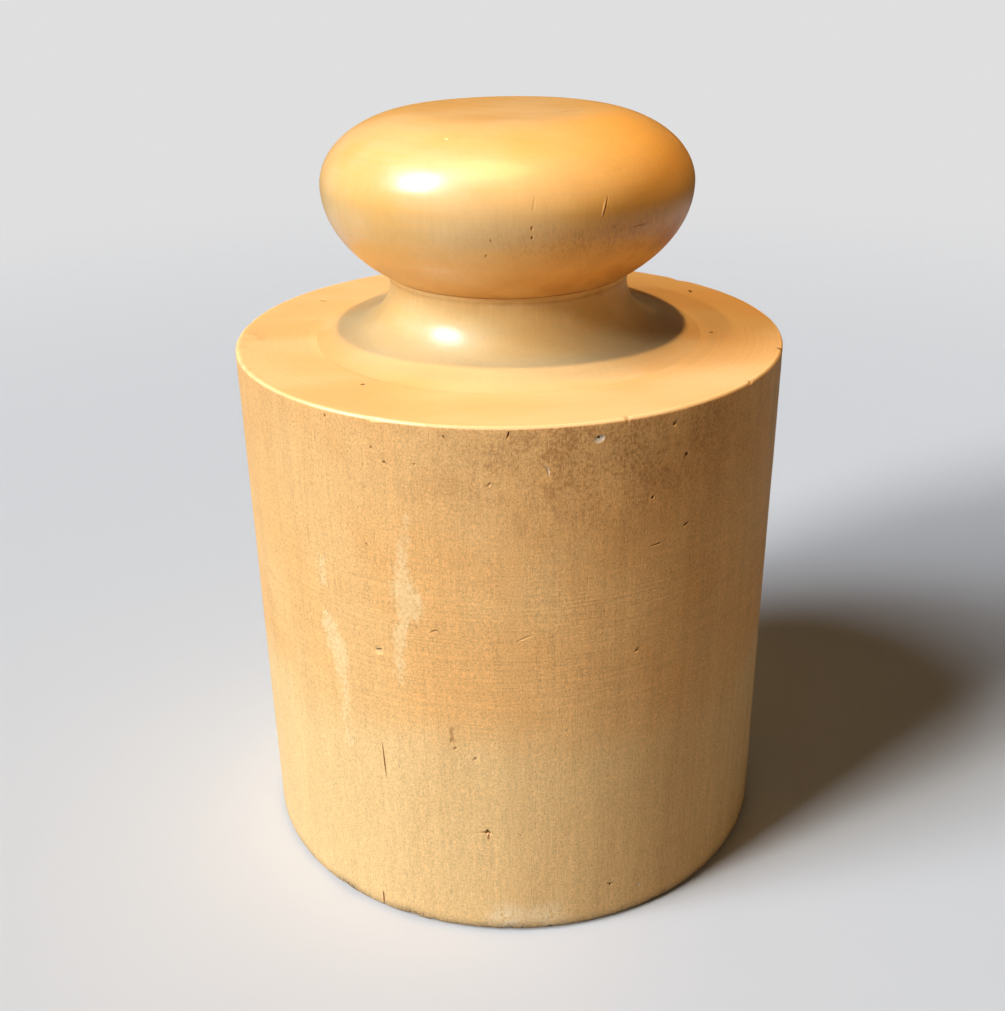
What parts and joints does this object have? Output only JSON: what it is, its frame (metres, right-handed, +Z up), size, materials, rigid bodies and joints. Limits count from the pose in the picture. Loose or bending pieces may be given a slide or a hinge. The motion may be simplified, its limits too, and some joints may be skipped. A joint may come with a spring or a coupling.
{
  "type": "pork pie mold",
  "caption": "Turned wooden pork pie mold: a solid cylindrical block that pastry is raised around, with a bun shaped knob on a waisted neck that screws into its flat top.",
  "frame": {"origin": "centre of the flat base that the block stands on", "axes": "+Z up along the turning axis; the object is round, so X and Y are free: +X is the right hand side and -Y is the side towards the camera in the picture"},
  "size_m": [0.14, 0.14, 0.1947],
  "materials": {
    "block_wood": "dry worn pale hardwood, matte on the side and satin on the top",
    "neck_wood": "satin handled pale hardwood",
    "knob_wood": "hand polished satin hardwood, warmer than the block",
    "screw_wood": "bare cut hardwood"
  },
  "bodies": {
    "block": {"block": "block_wood"},
    "neck": {"neck_collar": "neck_wood"},
    "handle": {"knob": "knob_wood", "handle_screw": "screw_wood"}
  },
  "joints": [
    {"name": "handle_lift", "type": "slide", "parent": "block", "child": "neck", "axis": [0, 0, 1], "range_m": [0, 0.042]},
    {"name": "handle_turn", "type": "hinge", "parent": "neck", "child": "handle", "pos_m": [0, 0, 0.135], "axis": [0, 0, 1], "range_deg": [0, 2160]}
  ],
  "couplings": [
    {"joint": "handle_lift", "follows": "handle_turn", "m_per_rad": 0.0011141}
  ]
}
